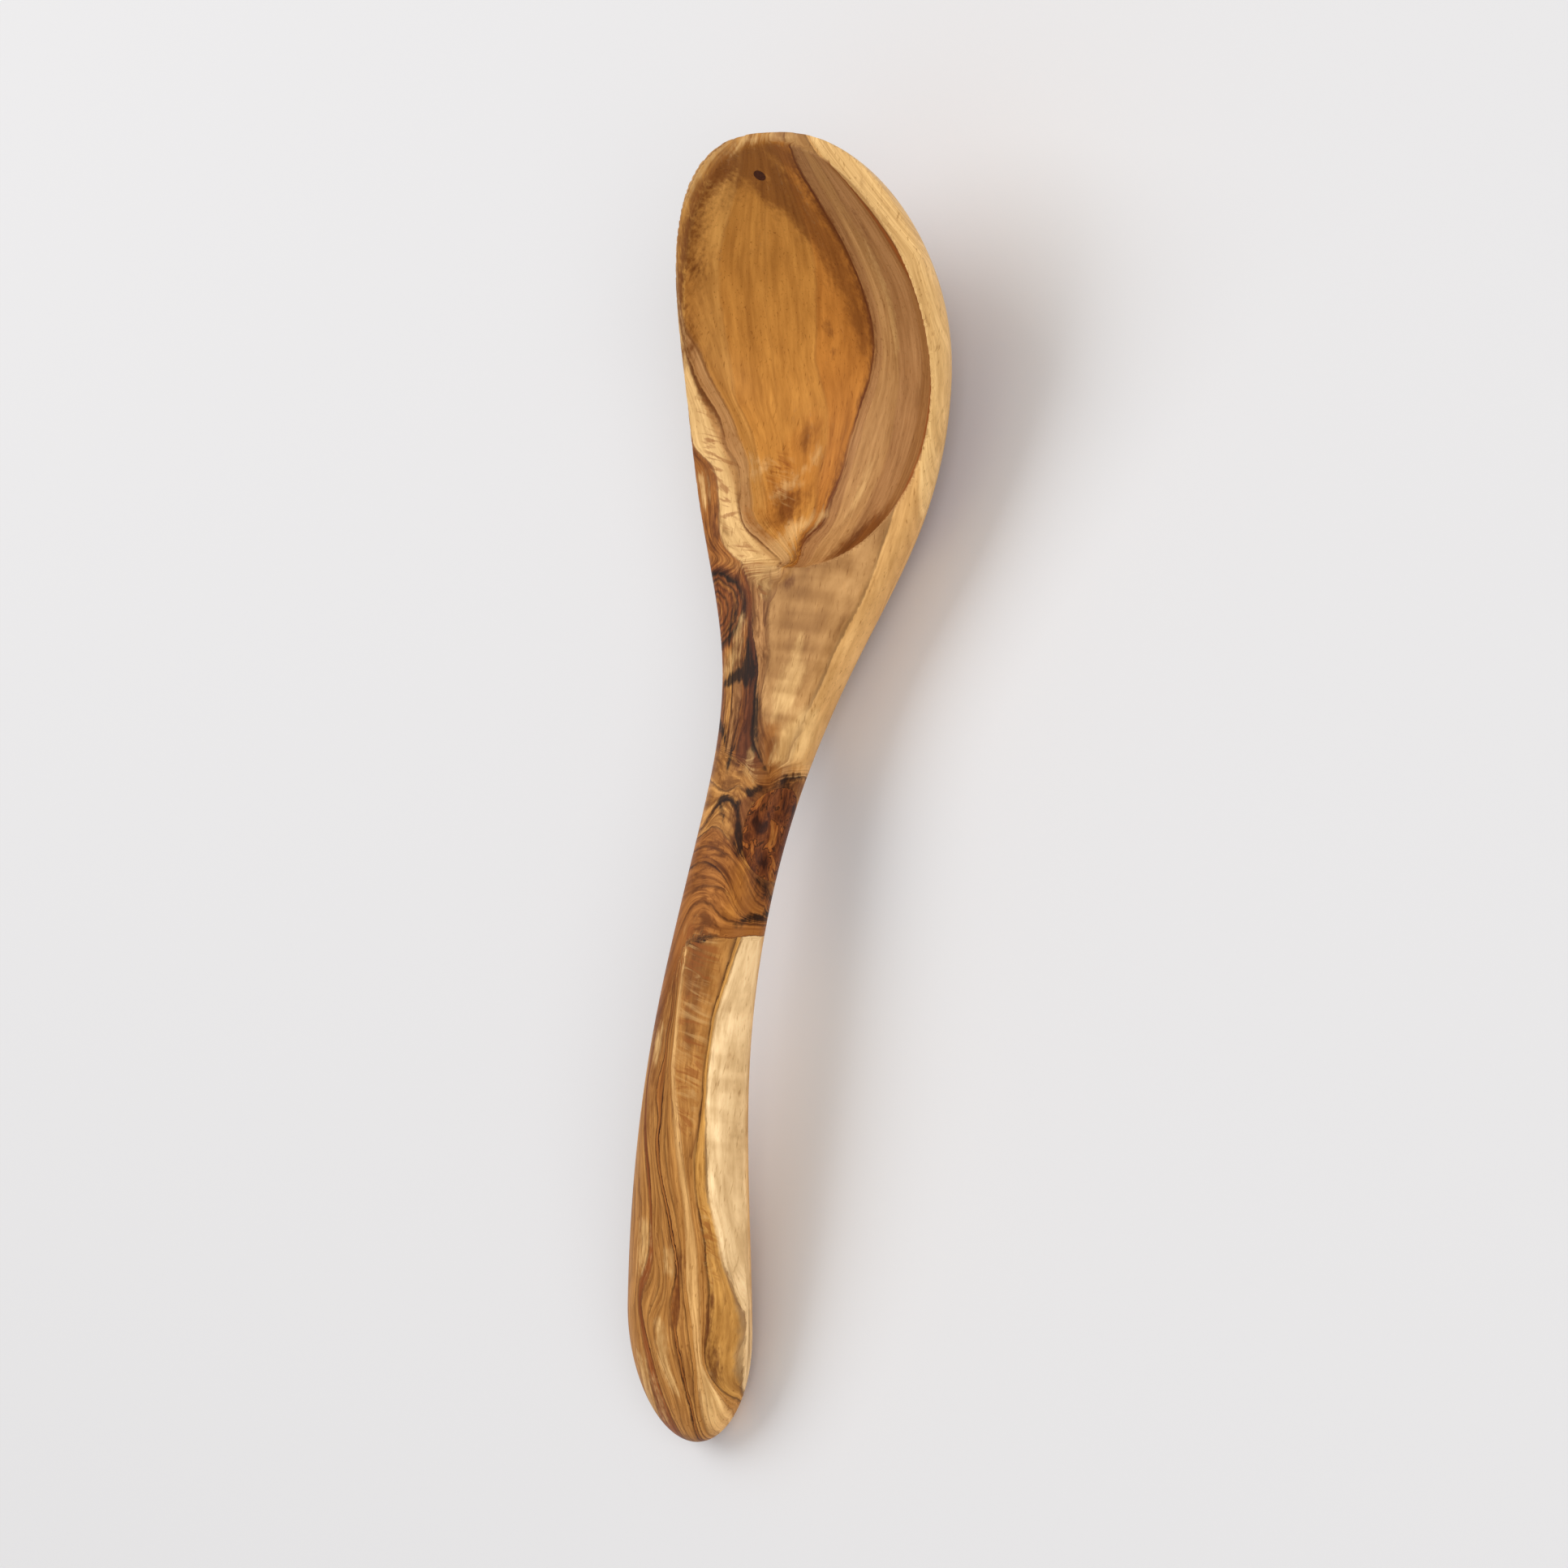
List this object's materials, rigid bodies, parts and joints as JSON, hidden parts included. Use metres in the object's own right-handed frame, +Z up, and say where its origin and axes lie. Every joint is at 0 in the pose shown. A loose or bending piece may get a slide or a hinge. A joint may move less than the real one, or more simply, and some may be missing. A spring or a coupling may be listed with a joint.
{
  "type": "ladle",
  "caption": "Carved wooden ladle with a deep oval bowl, an upturned tip and an S-curved handle that widens to a rounded grip, for serving and stirring",
  "frame": {"origin": "on the table the ladle lies on, at the centre of the bounding box's base", "axes": "+X from the handle's end to the bowl's tip, +Z up out of the open bowl"},
  "size_m": [0.305, 0.0806, 0.0528],
  "materials": {
    "olive_wood": "oiled, satin",
    "dark_knot": "oiled, glossy"
  },
  "bodies": {
    "root": {"ladle_body": "olive_wood", "neck_knot": "dark_knot", "bowl_pin_knot": "dark_knot"}
  },
  "joints": []
}
